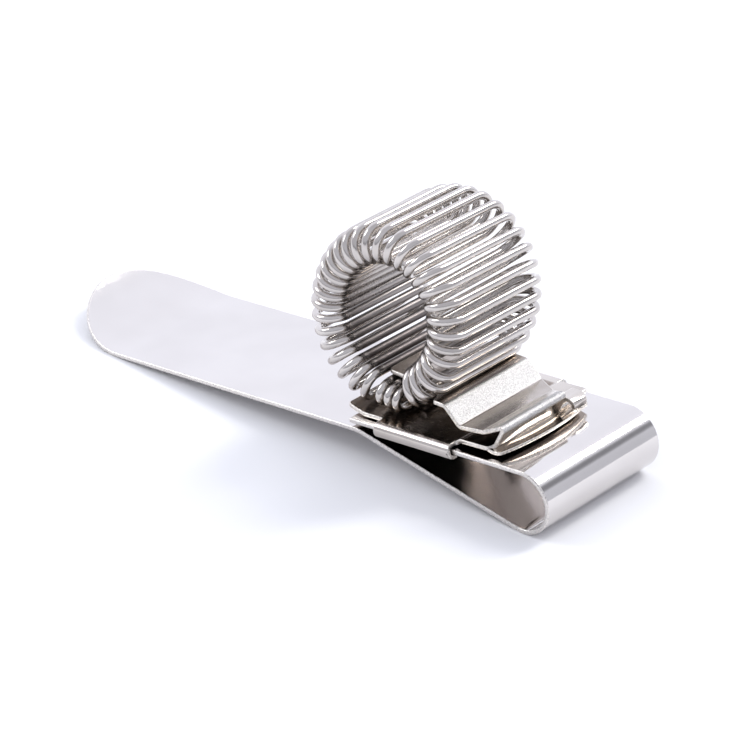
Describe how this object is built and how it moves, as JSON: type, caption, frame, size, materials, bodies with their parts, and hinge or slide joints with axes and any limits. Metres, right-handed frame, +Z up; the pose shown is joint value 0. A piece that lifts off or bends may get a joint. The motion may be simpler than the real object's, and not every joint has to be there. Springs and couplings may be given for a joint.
{
  "type": "spring-ring pen clip",
  "caption": "Folded sprung metal clip with a crimped bracket and a coil-wire ring that grips a pen; the jaw and the ring open.",
  "frame": {"origin": "middle of the plan box, at the table", "axes": "+X along the strip from the rounded tip to the fold, +Y across the strip and along the pen hole, +Z up"},
  "size_m": [0.0614, 0.0172, 0.0236],
  "materials": {
    "strip": "bright nickel plate, polished",
    "bracket": "bright nickel plate, lightly textured by folding",
    "wire": "bright nickel-plated spring wire"
  },
  "bodies": {
    "base": {"long_leg": "strip", "fold_bend": "strip"},
    "jaw": {"upper_leg": "strip", "bracket_base": "bracket", "crimp_tab_front": "bracket", "crimp_tab_rear": "bracket", "clamp_plate": "bracket", "guard_lip": "bracket", "corner_hook": "bracket", "coil_root": "wire"},
    "coil_arc_1": {"coil_arc_1": "wire"},
    "coil_arc_2": {"coil_arc_2": "wire"},
    "coil_arc_3": {"coil_arc_3": "wire"},
    "coil_arc_4": {"coil_arc_4": "wire"},
    "coil_arc_5": {"coil_arc_5": "wire"},
    "coil_arc_6": {"coil_arc_6": "wire"},
    "coil_arc_7": {"coil_arc_7": "wire"},
    "coil_tail": {"coil_tail": "wire"}
  },
  "joints": [
    {"name": "jaw_open", "type": "hinge", "parent": "base", "child": "jaw", "pos_m": [0.02765, 0, 0.0031], "axis": [0, 1, 0], "range_deg": [0, 10], "stiffness_Nm_per_rad": 0.3, "springref_deg": -10.89},
    {"name": "ring_open_1", "type": "slide", "parent": "jaw", "child": "coil_arc_1", "axis": [0.6081, 0, 0.7939], "range_m": [0, 0.000755], "stiffness_N_per_m": 800, "springref_m": -0.0002},
    {"name": "ring_open_2", "type": "slide", "parent": "coil_arc_1", "child": "coil_arc_2", "axis": [0.0416, 0, 0.9991], "range_m": [0, 0.0009276]},
    {"name": "ring_open_3", "type": "slide", "parent": "coil_arc_2", "child": "coil_arc_3", "axis": [-0.6463, 0, 0.7631], "range_m": [0, 0.0007975]},
    {"name": "ring_open_4", "type": "slide", "parent": "coil_arc_3", "child": "coil_arc_4", "axis": [-0.998, 0, 0.0635], "range_m": [0, 0.0007365]},
    {"name": "ring_open_5", "type": "slide", "parent": "coil_arc_4", "child": "coil_arc_5", "axis": [-0.7122, 0, -0.702], "range_m": [0, 0.0007401]},
    {"name": "ring_open_6", "type": "slide", "parent": "coil_arc_5", "child": "coil_arc_6", "axis": [0.0049, 0, -1], "range_m": [0, 0.0008056]},
    {"name": "ring_open_7", "type": "slide", "parent": "coil_arc_6", "child": "coil_arc_7", "axis": [0.6629, 0, -0.7487], "range_m": [0, 0.0008919]},
    {"name": "ring_open_8", "type": "slide", "parent": "coil_arc_7", "child": "coil_tail", "axis": [0.9641, 0, -0.2656], "range_m": [0, 0.00071]}
  ],
  "couplings": [
    {"joint": "ring_open_2", "follows": "ring_open_1", "ratio": 1.2283},
    {"joint": "ring_open_3", "follows": "ring_open_1", "ratio": 1.056},
    {"joint": "ring_open_4", "follows": "ring_open_1", "ratio": 0.97529},
    {"joint": "ring_open_5", "follows": "ring_open_1", "ratio": 0.98},
    {"joint": "ring_open_6", "follows": "ring_open_1", "ratio": 1.0668},
    {"joint": "ring_open_7", "follows": "ring_open_1", "ratio": 1.1811},
    {"joint": "ring_open_8", "follows": "ring_open_1", "ratio": 0.94018}
  ]
}
